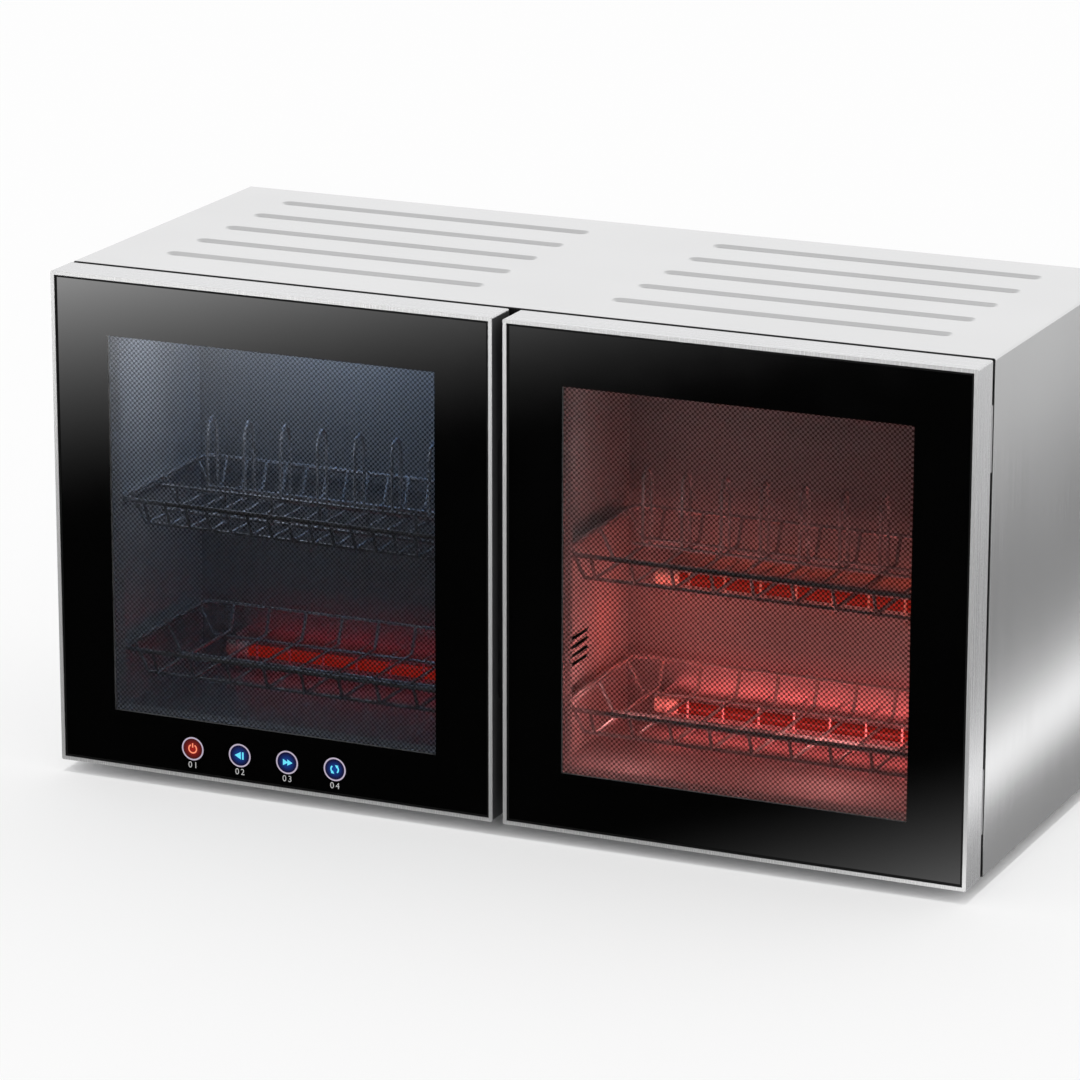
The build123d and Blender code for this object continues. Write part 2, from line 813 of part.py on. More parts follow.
def rack_ledges(side, rim_heights):
    """Folded ledges on both chamber walls that the rims slide on."""
    near = chamber_divide / 2
    far = near + chamber_width
    ledge_y = (frame_back_y + liner_flange, frame_back_y + liner_flange + ledge_length)
    with BuildPart() as ledges:
        for rim_z in rim_heights:
            top = rim_z - rim_wire / 2 - ledge_play
            for wall, inwards in ((near, 1), (far, -1)):
                block(
                    mirrored(side, wall, wall + inwards * ledge_width),
                    ledge_y,
                    (top - ledge_sheet, top),
                )
                block(
                    mirrored(side, wall, wall + inwards * ledge_sheet),
                    ledge_y,
                    (top - ledge_drop, top),
                )
    return ledges


rim_heights = {"upper": chamber_floor_z + upper_rim, "lower": chamber_floor_z + lower_rim}
for name, side in sides.items():
    save(rack_ledges(side, rim_heights.values()), f"{name}_rack_ledges")
    for level, rim_z in rim_heights.items():
        fine = (name, level) == ("left", "upper")
        pitch = cutlery_pitch if fine else dish_pitch
        save(rack_basket(side * chamber_x, rim_z, pitch), f"{name}_{level}_rack_basket")
    save(plate_dividers(side * chamber_x, rim_heights["upper"]), f"{name}_upper_plate_dividers")
save(cutlery_fence(-chamber_x, rim_heights["upper"]), "left_upper_cutlery_fence")

# ---------------------------------------------------------------- heaters and lamp
tube_y = chamber_rear_y - tube_from_rear
tube_half = chamber_width / 2 - tube_side
cap_x = tube_half - cap_grip + cap_length / 2


def heater_tube(centre_x, height):
    """Quartz tube of a far-infrared heater."""
    with BuildPart() as tube:
        with Locations(Location((centre_x, tube_y, height), (0, 90, 0))):
            Cylinder(tube_diameter / 2, 2 * tube_half)
    return tube


def heater_caps(centre_x, height):
    """Ceramic caps over both ends of the tube."""
    with BuildPart() as caps:
        for end in sides.values():
            with Locations(Location((centre_x + end * cap_x, tube_y, height), (0, 90, 0))):
                Cylinder(cap_diameter / 2, cap_length)
        with Locations(Location((centre_x, tube_y, height), (0, 90, 0))):
            Cylinder(tube_diameter / 2, 2 * tube_half, mode=Mode.SUBTRACT)
    return caps


def heater_guard(centre_x, height):
    """Polished reflector with end tabs for the caps and bars in front of the tube."""
    low, high = height - reflector_height / 2, height + reflector_height / 2
    back = (chamber_rear_y - reflector_sheet, chamber_rear_y)
    bar_count = int((2 * tube_half - 2 * cap_length) / guard_pitch) + 1
    bar = wire(
        [
            (0, chamber_rear_y - reflector_sheet / 2, high - height - guard_wire),
            (0, tube_y - guard_reach, high - height - guard_wire),
            (0, tube_y - guard_reach, low - height + guard_wire),
            (0, chamber_rear_y - reflector_sheet / 2, low - height + guard_wire),
        ],
        guard_wire,
        mesh_flats,
        (1, 0, 0),
    )
    with BuildPart() as guard:
        reach = cap_x + cap_length / 2
        block((centre_x - reach, centre_x + reach), back, (low, high))
        for end in sides.values():
            tab = sorted((centre_x + end * (cap_x - reflector_sheet), centre_x + end * cap_x))
            block(tab, (tube_y - cap_diameter / 2 - guard_wire, chamber_rear_y), (low, high))
        with Locations(Location((centre_x, tube_y, height), (0, 90, 0))):
            Cylinder(cap_diameter / 2 + hole_play, 2 * reach, mode=Mode.SUBTRACT)
        with Locations((centre_x, 0, height)):
            with GridLocations(guard_pitch, 1, bar_count, 1):
                add(bar)
    return guard


heaters = {
    "left_lower": (-chamber_x, chamber_floor_z + tube_above_floor),
    "right_lower": (chamber_x, chamber_floor_z + tube_above_floor),
    "right_middle": (chamber_x, chamber_floor_z + middle_tube_above_floor),
}
for name, place in heaters.items():
    save(heater_tube(*place), f"{name}_heater_tube")
    save(heater_caps(*place), f"{name}_heater_caps")
    save(heater_guard(*place), f"{name}_heater_guard")

lamp_z = chamber_roof_z - lamp_below_roof
lamp_half = chamber_width / 2 - tube_side

with BuildPart() as uv_lamp_tube:
    with Locations(Location((-chamber_x, tube_y, lamp_z), (0, 90, 0))):
        Cylinder(lamp_diameter / 2, 2 * lamp_half)
save(uv_lamp_tube, "uv_lamp_tube")

with BuildPart() as uv_lamp_sockets:
    for end in sides.values():
        socket = sorted(
            -chamber_x + end * (lamp_half + reach) for reach in (-socket_length / 2, socket_length / 2)
        )
        block(
            socket,
            (tube_y - lamp_diameter / 2 - panel_wall, chamber_rear_y),
            (lamp_z - lamp_diameter / 2 - panel_wall, lamp_z + lamp_diameter / 2 + panel_wall),
        )
        fillet(uv_lamp_sockets.edges().filter_by(Axis.X).group_by(Axis.Y)[0], panel_wall)
    with Locations(Location((-chamber_x, tube_y, lamp_z), (0, 90, 0))):
        Cylinder(lamp_diameter / 2, 2 * lamp_half, mode=Mode.SUBTRACT)
save(uv_lamp_sockets, "uv_lamp_sockets")

# ---------------------------------------------------------------- electrics
bracket_y = (back_y - bracket_from_rear, back_y - bracket_from_rear + bracket_depth)
board_side = bracket_sheet / 2 + standoff_length

with BuildPart() as electrics_bracket:
    block(
        (-bracket_sheet / 2, bracket_sheet / 2), bracket_y, (pan_top_z, pan_top_z + bracket_height)
    )
    block((-bracket_sheet / 2, base_flange), bracket_y, (pan_top_z, pan_top_z + bracket_sheet))
save(electrics_bracket, "electrics_bracket")

power_board_y = (bracket_y[0] + panel_wall, bracket_y[0] + panel_wall + power_board_depth)
power_board_z = (
    pan_top_z + bracket_height - power_board_height - panel_wall,
    pan_top_z + bracket_height - panel_wall,
)
part_depth = chamber_divide / 2 - liner_sheet - board_side - board_sheet - 2 * fit_gap

with BuildPart() as power_board:
    block((board_side, board_side + board_sheet), power_board_y, power_board_z)
    board_middle = (sum(power_board_y) / 2, sum(power_board_z) / 2)
    part_y = power_board_depth / 4
    part_z = power_board_height / 4
    with BuildSketch(seen_from_right(board_side + board_sheet)):
        with Locations(board_middle):
            with Locations((-part_y, part_z)):
                Rectangle(*transformer_size)
            with Locations((part_y, part_z)):
                Rectangle(*relay_size)
            with Locations((part_y, 0)):
                Circle(capacitor_diameter / 2)
            with Locations((-part_y, -part_z / 2)):
                Rectangle(*heat_sink_size)
            with Locations((0, part_z / 2 - power_board_height / 2)):
                Rectangle(*connector_size)
    extrude(amount=part_depth)
    with BuildSketch(seen_from_right(bracket_sheet / 2)):
        with Locations(board_middle):
            with GridLocations(
                power_board_depth - board_boss * 2, power_board_height - board_boss * 2, 2, 2
            ):
                Circle(board_boss / 2)
    extrude(amount=standoff_length)
save(power_board, "power_board")

with BuildPart() as lamp_ballast:
    width, depth, height = ballast_size
    ballast_z = pan_top_z + bracket_height / 2
    block(
        (-bracket_sheet / 2 - width, -bracket_sheet / 2),
        (bracket_y[0] + board_boss, bracket_y[0] + board_boss + depth),
        (ballast_z - height / 2, ballast_z + height / 2),
    )
    fillet(lamp_ballast.edges().filter_by(Axis.Y), panel_wall)
save(lamp_ballast, "lamp_ballast")

with BuildPart() as terminal_block:
    width, depth, height = terminal_size
    terminal_z = pan_top_z + bracket_sheet
    terminal_y = (bracket_y[1] - depth, bracket_y[1])
    block((bracket_sheet / 2, bracket_sheet / 2 + width), terminal_y, (terminal_z, terminal_z + height))
    with BuildSketch(Plane.XY.offset(terminal_z + height)):
        with Locations((bracket_sheet / 2 + width / 2, sum(terminal_y) / 2)):
            with GridLocations(0, depth / 4, 1, 3):
                Circle(depth / 12)
    extrude(amount=-height / 2, mode=Mode.SUBTRACT)
save(terminal_block, "terminal_block")

with BuildPart() as thermal_cutouts:
    liner_rear_y = chamber_rear_y + liner_sheet
    cutout_y = liner_rear_y + cutout_height / 2
    for x, z in heaters.values():
        with Locations(Location((x, cutout_y, z + 2 * tube_from_rear), (90, 0, 0))):
            Cylinder(cutout_diameter / 2, cutout_height)
save(thermal_cutouts, "thermal_cutouts")

with BuildPart() as door_switches:
    for side in sides.values():
        block(
            door_span(side, *magnet_span),
            (frame_back_y, frame_back_y + magnet_width),
            magnet_z,
        )
save(door_switches, "door_switches")

gland_z = base_z + gland_above_base
gland_front_y = panel_front_y - gland_wall
gland_rear_y = back_y - gland_rib
with BuildPart() as cable_gland:
    with BuildSketch(Plane.YZ):
        with BuildLine():
            Polyline(
                (gland_front_y, gland_z + cord_bore / 2),
                (gland_front_y, gland_z + gland_neck / 2),
                (gland_front_y + gland_wall / 2, gland_z + gland_neck / 2 + gland_rib),
                (panel_front_y, gland_z + gland_neck / 2 + gland_rib),
                (panel_front_y, gland_z + gland_neck / 2),
                (panel_rear_y, gland_z + gland_neck / 2),
                (panel_rear_y, gland_z + gland_flange / 2),
                (panel_rear_y + gland_wall, gland_z + gland_flange / 2 - gland_rib),
                (gland_rear_y, gland_z + cord_bore / 2 + gland_wall),
                (gland_rear_y, gland_z + cord_bore / 2),
                close=True,
            )
        make_face()
    revolve(axis=Axis((0, 0, gland_z), (0, 1, 0)))
save(cable_gland, "cable_gland")
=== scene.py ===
import json
import math

import bmesh
import bpy
from mathutils import Matrix, Vector


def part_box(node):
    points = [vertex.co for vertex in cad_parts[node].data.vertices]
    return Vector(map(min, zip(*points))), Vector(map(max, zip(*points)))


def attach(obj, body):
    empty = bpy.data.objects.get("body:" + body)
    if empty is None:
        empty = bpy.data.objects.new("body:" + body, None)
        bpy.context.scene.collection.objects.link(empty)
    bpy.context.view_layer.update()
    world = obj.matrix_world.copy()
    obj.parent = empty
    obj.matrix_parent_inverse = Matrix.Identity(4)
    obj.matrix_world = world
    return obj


# Looks of the dish sterilizer cabinet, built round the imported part. Metres, +Z up, the doors
# face -Y, and the origin is on the floor under the middle of the cabinet.

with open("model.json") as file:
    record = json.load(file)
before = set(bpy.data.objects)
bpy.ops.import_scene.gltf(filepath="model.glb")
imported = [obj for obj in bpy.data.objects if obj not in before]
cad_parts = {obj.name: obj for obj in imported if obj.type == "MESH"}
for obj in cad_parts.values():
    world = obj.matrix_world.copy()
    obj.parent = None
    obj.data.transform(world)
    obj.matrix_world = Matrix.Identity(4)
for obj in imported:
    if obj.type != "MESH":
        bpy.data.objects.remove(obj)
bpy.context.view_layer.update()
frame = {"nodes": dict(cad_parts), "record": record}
nodes = frame["nodes"]
sides = ("left", "right")

# ---------------------------------------------------------------- places read from the part
door = {side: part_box(f"{side}_door_frame") for side in sides}
pane = {side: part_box(f"{side}_door_glass") for side in sides}
chamber = {side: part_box(f"{side}_chamber_liner") for side in sides}
rings_low, rings_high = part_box("key_light_rings")
casing_low, casing_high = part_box("outer_shell")
door_front_y = door["left"][0].y
door_back_y = door["left"][1].y
body_front_y = casing_low.y

# ---------------------------------------------------------------- sizes of the trim and print
lip_width = 0.003                # metal lip round the pane
shadow_line_width = 0.0018              # black strip beside the lip: painted shade for the shadow line there
shadow_line_height = 0.0005
window_margin_x = 0.0485         # door edge to window
window_margin_z = 0.0475
film_thickness = 0.0001
film_sink = 0.00006              # dots ahead of the pane's rear face
dot_pitch = 0.004
dot_share = 0.02                 # level of the dot wave at a dot's edge
dot_blur = 0.20
dot_ground = 0.80                # how much the ground between the dots hides

key_count = 4
key_radius = (rings_high.z - rings_low.z) / 2
key_pitch = (rings_high.x - rings_low.x - 2 * key_radius) / (key_count - 1)
rim_width = 0.0012               # pale ring round a key
power_arc = (0.0028, 0.0040)     # inner and outer radius
power_stem = (0.0012, 0.0036)    # width and height
left_arrow = 0.0036
left_bar = (0.0014, 0.0060)
right_arrows = 0.0030
turn_arc = (0.0026, 0.0038)
turn_arrow = 0.0017
caption_height = 0.0072
caption_spacing = 1.35
caption_drop = 0.0136            # middle of a key to the middle of its number


# ---------------------------------------------------------------- material helpers
def add_node(tree, kind, settings=None, **sockets):
    """A node with its settings, and its inputs linked or given a value by name or by _number."""
    made = tree.nodes.new(kind)
    for name, value in (settings or {}).items():
        setattr(made, name, value)
    for name, value in sockets.items():
        plug = made.inputs[int(name[1:])] if name[0] == "_" else made.inputs[name.replace("_", " ")]
        join(tree, value, plug)
    return made


def join(tree, value, plug):
    """An input linked to a socket, or given a plain value."""
    if isinstance(value, bpy.types.NodeSocket):
        tree.links.new(value, plug)
    else:
        plug.default_value = value


def maths(tree, operation, first, second=0.0, third=0.0):
    """The result of one arithmetic step."""
    made = add_node(tree, "ShaderNodeMath", {"operation": operation}, _0=first, _1=second, _2=third)
    return made.outputs[0]


def spread(tree, value, low, high, from_low=0.0, from_high=1.0):
    """A value carried from one range to another."""
    made = add_node(tree, "ShaderNodeMapRange", None, Value=value)
    limits = {"From Min": from_low, "From Max": from_high, "To Min": low, "To Max": high}
    for plug, number in limits.items():
        made.inputs[plug].default_value = number
    return made.outputs[0]


def blended(tree, share, first, second):
    """Two colours mixed by a share."""
    return add_node(
        tree, "ShaderNodeMix", {"data_type": "RGBA"}, _0=share, _6=first, _7=second
    ).outputs[2]


def axis_of(tree, vector, axis):
    """One axis of a position or a direction."""
    return add_node(tree, "ShaderNodeSeparateXYZ", None, Vector=vector).outputs[axis]


def grey(level):
    return (level, level, level, 1.0)


def darkened(shade, share):
    """A shade as an opaque colour, at a share of its level."""
    return (*[share * level for level in shade], 1.0)


def new_group(name, takes, gives):
    """An empty node group with named sockets."""
    group = bpy.data.node_groups.new(name, "ShaderNodeTree")
    for label, kind in takes:
        group.interface.new_socket(label, in_out="INPUT", socket_type=kind)
    for label, kind in gives:
        group.interface.new_socket(label, in_out="OUTPUT", socket_type=kind)
    entry = group.nodes.new("NodeGroupInput")
    leave = group.nodes.new("NodeGroupOutput")
    return group, entry.outputs, leave.inputs


def placed_group(tree, group, **sockets):
    """A copy of a node group in a material, with its own values."""
    return add_node(tree, "ShaderNodeGroup", {"node_tree": group}, **sockets).outputs


def new_finish(name):
    """A material with its object coordinates and its shader."""
    material = bpy.data.materials.new(name)
    material.use_nodes = True
    tree = material.node_tree
    tree.nodes.clear()
    place = tree.nodes.new("ShaderNodeTexCoord").outputs["Object"]
    shader = tree.nodes.new("ShaderNodeBsdfPrincipled")
    result = tree.nodes.new("ShaderNodeOutputMaterial")
    tree.links.new(shader.outputs[0], result.inputs[0])
    return material, tree, place, shader


def wire_up(tree, shader, **sockets):
    """Shader inputs linked or set by name."""
    for name, value in sockets.items():
        join(tree, value, shader.inputs[name.replace("_", " ")])


def mixed_result(tree, share, first, second):
    """A surface that mixes two shaders by a share."""
    mixed = add_node(tree, "ShaderNodeMixShader", None, Fac=share)
    tree.links.new(first.outputs[0], mixed.inputs[1])
    tree.links.new(second.outputs[0], mixed.inputs[2])
    result = next(node for node in tree.nodes if node.type == "OUTPUT_MATERIAL")
    tree.links.new(mixed.outputs[0], result.inputs[0])


# ---------------------------------------------------------------- shared effects
def noise(tree, place, scale, detail, roughness=0.5):
    """Soft noise over a position."""
    return add_node(
        tree, "ShaderNodeTexNoise", None, Vector=place, Scale=scale, Detail=detail, Roughness=roughness
    ).outputs["Fac"]


def brushing_group():
    """Long fine brush lines and a slow drift, from a position stretched across the grain."""
    group, entry, leave = new_group(
        "fine_brushing",
        [("Position", "NodeSocketVector"), ("Stretch", "NodeSocketVector")],
        [("Lines", "NodeSocketFloat"), ("Drift", "NodeSocketFloat")],
    )
    stretched = add_node(
        group, "ShaderNodeVectorMath", {"operation": "MULTIPLY"}, _0=entry["Position"], _1=entry["Stretch"]
    )
    group.links.new(noise(group, stretched.outputs[0], 1.0, 3.0, 0.65), leave["Lines"])
    group.links.new(noise(group, entry["Position"], 7.0, 2.0), leave["Drift"])
    return group


def moulding_group():
    """Fine spark-eroded texture of a moulded surface, with faint wiping marks."""
    group, entry, leave = new_group(
        "moulded_surface",
        [("Position", "NodeSocketVector"), ("Grain", "NodeSocketFloat")],
        [("Height", "NodeSocketFloat"), ("Marks", "NodeSocketFloat")],
    )
    group.links.new(noise(group, entry["Position"], entry["Grain"], 2.0), leave["Height"])
    group.links.new(noise(group, entry["Position"], 18.0, 4.0, 0.6), leave["Marks"])
    return group


brushing = brushing_group()
moulding = moulding_group()


# ---------------------------------------------------------------- finishes
grain_along_x = (5.0, 1500.0, 1500.0)
grain_along_z = (1500.0, 1500.0, 5.0)
coarse_grain = (900.0, 900.0, 60.0)
facing_limit = 0.7               # least part of a normal that counts as facing an axis
shaded_reach = 0.0005              # depth over which a painted shade holds


def facing(tree, axis):
    """1 where a surface faces along an axis, either way, and 0 elsewhere."""
    normal = add_node(tree, "ShaderNodeTexCoord").outputs["Normal"]
    part = maths(tree, "ABSOLUTE", axis_of(tree, normal, axis))
    return maths(tree, "GREATER_THAN", part, facing_limit)


def brushed_metal(name, shade, roughness, upright_grain, metallic=1.0, painted_shades=()):
    """Brushed sheet with its grain along X on level faces.

    Each painted shade darkens the upright faces at one depth and gives them a metallic level of their own,
    standing in for shade that falls there.
    """
    material, tree, place, shader = new_finish(name)
    flat = placed_group(tree, brushing, Position=place, Stretch=grain_along_x)
    upright = placed_group(tree, brushing, Position=place, Stretch=upright_grain)
    level = facing(tree, "Z")
    lines = add_node(
        tree, "ShaderNodeMix", None, _0=level, _2=upright["Lines"], _3=flat["Lines"]
    ).outputs[0]
    drift = spread(tree, flat["Drift"], -0.02, 0.02, 0.3, 0.7)
    tone = maths(tree, "ADD", spread(tree, lines, 0.95, 1.03, 0.3, 0.7), drift)
    bump = add_node(tree, "ShaderNodeBump", None, Strength=0.02, Distance=0.0002, Height=lines)
    colour = add_node(
        tree, "ShaderNodeVectorMath", {"operation": "SCALE"}, _0=shade, Scale=tone
    ).outputs[0]
    depth = axis_of(tree, place, "Y")
    # painted shade: the faces at each listed depth are darkened as if in shade
    for shaded_y, shaded_level, shaded_metallic in painted_shades:
        shaded_here = maths(tree, "COMPARE", depth, shaded_y, shaded_reach)
        colour = blended(tree, shaded_here, colour, grey(shaded_level))
        metallic = add_node(
            tree, "ShaderNodeMix", None, _0=shaded_here, _2=metallic, _3=shaded_metallic
        ).outputs[0]
    wire_up(
        tree,
        shader,
        Base_Color=colour,
        Metallic=metallic,
        Roughness=spread(tree, lines, roughness - 0.03, roughness + 0.04, 0.3, 0.7),
        Normal=bump.outputs[0],
    )
    return material


def polished_metal(name, shade, low, high, metallic=1.0, lit_side_walls=None):
    """Polished metal with faint wiping marks, between two roughness levels.

    Faces that look along X can have a colour and a metallic level of their own: painted light that makes
    side walls lighter than the back and floor.
    """
    material, tree, place, shader = new_finish(name)
    marks = placed_group(tree, moulding, Position=place, Grain=900.0)["Marks"]
    colour = blended(tree, marks, darkened(shade, 0.94), darkened(shade, 1.0))
    if lit_side_walls:
        lit_wall_shade, lit_wall_metallic = lit_side_walls
        sideways = facing(tree, "X")
        colour = blended(tree, sideways, colour, darkened(lit_wall_shade, 1.0))
        metallic = spread(tree, sideways, metallic, lit_wall_metallic)
    wire_up(
        tree,
        shader,
        Base_Color=colour,
        Metallic=metallic,
        Roughness=spread(tree, marks, low, high, 0.3, 0.7),
    )
    return material


def moulded(name, shade, roughness, grain=1400.0, bump_strength=0.25, gloss=0.5):
    """Moulded plastic or rubber with a fine grain and uneven sheen."""
    material, tree, place, shader = new_finish(name)
    surface = placed_group(tree, moulding, Position=place, Grain=grain)
    bump = add_node(
        tree, "ShaderNodeBump", None, Strength=bump_strength, Distance=0.0001, Height=surface["Height"]
    )
    wire_up(
        tree,
        shader,
        Base_Color=blended(tree, surface["Marks"], darkened(shade, 0.82), darkened(shade, 1.0)),
        Roughness=spread(tree, surface["Marks"], roughness - 0.05, roughness + 0.07, 0.3, 0.7),
        Specular_IOR_Level=gloss,
        Normal=bump.outputs[0],
    )
    return material


def lit(name, colour, strength, base=(0.8, 0.8, 0.8)):
    """Plastic or glass lit from inside, a little uneven along its length."""
    material, tree, place, shader = new_finish(name)
    marks = placed_group(tree, moulding, Position=place, Grain=600.0)["Marks"]
    wire_up(
        tree,
        shader,
        Base_Color=(*base, 1.0),
        Roughness=0.25,
        Emission_Color=blended(tree, marks, darkened(colour, 0.75), darkened(colour, 1.0)),
        Emission_Strength=strength,
    )
    return material


def clear_pane(name):
    """Clear glass, which lets part of the studio's light reach what is behind it."""
    material, tree, place, shader = new_finish(name)
    wire_up(tree, shader, Base_Color=grey(1.0), Roughness=0.0, Transmission_Weight=1.0, IOR=1.45)
    passing = add_node(tree, "ShaderNodeBsdfTransparent", None, Color=grey(0.4))
    ray = tree.nodes.new("ShaderNodeLightPath").outputs
    bounced = maths(tree, "MAXIMUM", ray["Is Diffuse Ray"], ray["Is Glossy Ray"])
    passes = maths(tree, "MAXIMUM", ray["Is Shadow Ray"], bounced)
    mixed_result(tree, passes, shader, passing)
    return material


def pane_border(name):
    """Black glaze behind polished glass, as it looks from the front."""
    material, tree, place, shader = new_finish(name)
    marks = placed_group(tree, moulding, Position=place, Grain=900.0)["Marks"]
    wire_up(
        tree,
        shader,
        Base_Color=blended(tree, marks, grey(0.0008), grey(0.0014)),
        Roughness=spread(tree, marks, 0.03, 0.07, 0.3, 0.7),
        IOR=1.45,
    )
    return material


def dotted_glaze(name):
    """The same glaze, thinner, with clear round dots in staggered rows."""
    material, tree, place, shader = new_finish(name)
    waves = []
    for axis in ("X", "Z"):
        phase = maths(tree, "MULTIPLY", axis_of(tree, place, axis), 2 * math.pi / dot_pitch)
        waves.append(maths(tree, "COSINE", phase))
    cover = add_node(
        tree,
        "ShaderNodeMapRange",
        {"interpolation_type": "SMOOTHSTEP"},
        Value=maths(tree, "MULTIPLY", *waves),
        From_Min=dot_share - dot_blur,
        From_Max=dot_share + dot_blur,
        To_Min=dot_ground,
        To_Max=0.0,
    )
    wire_up(
        tree,
        shader,
        Base_Color=grey(0.012),
        Roughness=0.6,
        Specular_IOR_Level=0.0,
        Alpha=cover.outputs[0],
    )
    return material


finishes = {
    # the casing's front flange is painted near black: painted shade for the dark gap round the doors
    "casing_steel": brushed_metal(
        "casing_steel", (0.75, 0.75, 0.755), 0.22, grain_along_z, painted_shades=[(body_front_y, 0.01, 0.0)]
    ),
    "door_metal": brushed_metal(
        "door_metal",
        (0.73, 0.73, 0.74),
        0.26,
        grain_along_z,
        metallic=0.8,
        # lips painted darker than the door's top: painted shade; rear flange painted near black: painted
        # shade in the gap round the doors
        painted_shades=[(door_front_y, 0.53, 0.35), (door_back_y, 0.01, 0.0)],
    ),
    "rear_sheet": brushed_metal("rear_sheet", (0.62, 0.64, 0.65), 0.42, coarse_grain),
    "hinge_steel": polished_metal("hinge_steel", (0.46, 0.46, 0.47), 0.28, 0.42),
    "zinc_screw": polished_metal("zinc_screw", (0.66, 0.67, 0.68), 0.25, 0.40),
    # the liner's side walls are painted lighter than its back and floor: painted light
    "mirror_steel": polished_metal(
        "mirror_steel", (0.52, 0.53, 0.55), 0.30, 0.42, 0.50, lit_side_walls=((0.72, 0.73, 0.74), 0.45)
    ),
    "rack_wire": polished_metal("rack_wire", (0.66, 0.66, 0.68), 0.20, 0.30, 0.5),
    "black_moulding": moulded("black_moulding", (0.065, 0.065, 0.067), 0.45),
    "white_moulding": moulded("white_moulding", (0.80, 0.80, 0.77), 0.45),
    "ceramic": moulded("ceramic", (0.82, 0.80, 0.74), 0.75, 2200.0, 0.4),
    "panel_grey": moulded("panel_grey", (0.74, 0.75, 0.77), 0.40),
    "seal_rubber": moulded("seal_rubber", (0.035, 0.035, 0.036), 0.65),
    "foot_rubber": moulded("foot_rubber", (0.025, 0.025, 0.026), 0.75, 1800.0, 0.4),
    "circuit_board": moulded("circuit_board", (0.02, 0.16, 0.07), 0.30),
    "key_light": lit("key_light", (1.0, 0.75, 0.75), 0.7),
    "lamp_glass": lit("lamp_glass", (0.30, 0.50, 1.0), 1.2, (0.1, 0.1, 0.1)),
    "quartz_tube": lit("quartz_tube", (1.0, 0.04, 0.02), 0.6, (0.05, 0.02, 0.02)),
    "door_glass": clear_pane("door_glass"),
}
for part in frame["record"]["subparts"]:
    dressed = nodes[part["node"]]
    dressed.data.materials.clear()
    dressed.data.materials.append(finishes[part["material_slot"]])


# ---------------------------------------------------------------- piece helpers
def new_piece(name, bm, body, material):
    """A finished piece at the origin, riding on its body."""
    bmesh.ops.recalc_face_normals(bm, faces=bm.faces)
    mesh = bpy.data.meshes.new(name)
    bm.to_mesh(mesh)
    bm.free()
    mesh.materials.append(material)
    piece = bpy.data.objects.new(name, mesh)
    bpy.context.scene.collection.objects.link(piece)
    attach(piece, body)


def thicken(bm, thickness):
    """Flat artwork given its own thickness."""
    bmesh.ops.solidify(bm, geom=bm.faces[:], thickness=thickness)


stand_up = Matrix.Rotation(math.pi / 2, 4, "X")


def flat_sheet(bm, centre, width, height, standing):
    """A flat rectangle round its centre, level, or standing so that it faces -Y."""
    place = Matrix.Translation(centre)
    if standing:
        place = place @ stand_up
    place = place @ Matrix.Diagonal((width, height, 1.0, 1.0))
    bmesh.ops.create_grid(bm, x_segments=1, y_segments=1, size=0.5, matrix=place)


def upright_sheet(x_range, z_range, y):
    """A flat upright sheet as a new mesh."""
    bm = bmesh.new()
    centre = ((x_range[0] + x_range[1]) / 2, y, (z_range[0] + z_range[1]) / 2)
    flat_sheet(bm, centre, x_range[1] - x_range[0], z_range[1] - z_range[0], standing=True)
    return bm


def frame_cut(sheet, x_range, z_range):
    """A rectangular opening cut through a flat upright sheet."""
    for axis, places in ((0, x_range), (2, z_range)):
        normal = Vector()
        normal[axis] = 1.0
        for place in places:
            everything = sheet.verts[:] + sheet.edges[:] + sheet.faces[:]
            bmesh.ops.bisect_plane(sheet, geom=everything, plane_co=place * normal, plane_no=normal)
    opening = [
        face
        for face in sheet.faces
        if x_range[0] < face.calc_center_median().x < x_range[1]
        and z_range[0] < face.calc_center_median().z < z_range[1]
    ]
    bmesh.ops.delete(sheet, geom=opening, context="FACES")


# ---------------------------------------------------------------- glaze of the panes, and painted shadow lines along their lips
border_glaze = pane_border("border_glaze")
window_glaze = dotted_glaze("window_glaze")
# near-black strip material: painted shade for the shadow line beside each lip
shadow_line_black = moulded("shadow_line_black", (0.004, 0.004, 0.004), 0.6, gloss=0.1)


def inside_door(side, margin_x, margin_z):
    """The ranges in X and Z that two margins leave inside a door's edges."""
    low, high = door[side]
    return (low.x + margin_x, high.x - margin_x), (low.z + margin_z, high.z - margin_z)


def pane_print(side):
    """The black border on the pane's front, and the dotted window in its rear face."""
    low, high = pane[side]
    window = inside_door(side, window_margin_x, window_margin_z)
    border = upright_sheet((low.x, high.x), (low.z, high.z), low.y - film_thickness / 2)
    frame_cut(border, *window)
    thicken(border, film_thickness)
    new_piece(f"{side}_door_border", border, f"{side}_door", border_glaze)
    dots = upright_sheet(*window, high.y - film_sink)
    new_piece(f"{side}_door_dots", dots, f"{side}_door", window_glaze)


def pane_shadow_line(side):
    """Black strip on the pane along the lip: painted shade for the shadow line between lip and glass."""
    inner_margin = lip_width + shadow_line_width
    shadow_line = upright_sheet(*inside_door(side, lip_width, lip_width), pane[side][0].y)
    frame_cut(shadow_line, *inside_door(side, inner_margin, inner_margin))
    raised = bmesh.ops.extrude_face_region(shadow_line, geom=shadow_line.faces[:], use_keep_orig=True)["geom"]
    corners = [corner for corner in raised if isinstance(corner, bmesh.types.BMVert)]
    bmesh.ops.translate(shadow_line, verts=corners, vec=(0, -shadow_line_height, 0))
    new_piece(f"{side}_door_shadow_line", shadow_line, f"{side}_door", shadow_line_black)


for side in sides:
    pane_print(side)
    pane_shadow_line(side)


# ---------------------------------------------------------------- key artwork
art_y = pane["left"][0].y - 1.5 * film_thickness
key_z = (rings_high.z + rings_low.z) / 2
key_spots = [
    Vector((rings_low.x + key_radius + number * key_pitch, art_y, key_z)) for number in range(key_count)
]
sign_spots = [spot - Vector((0, film_thickness, 0)) for spot in key_spots]


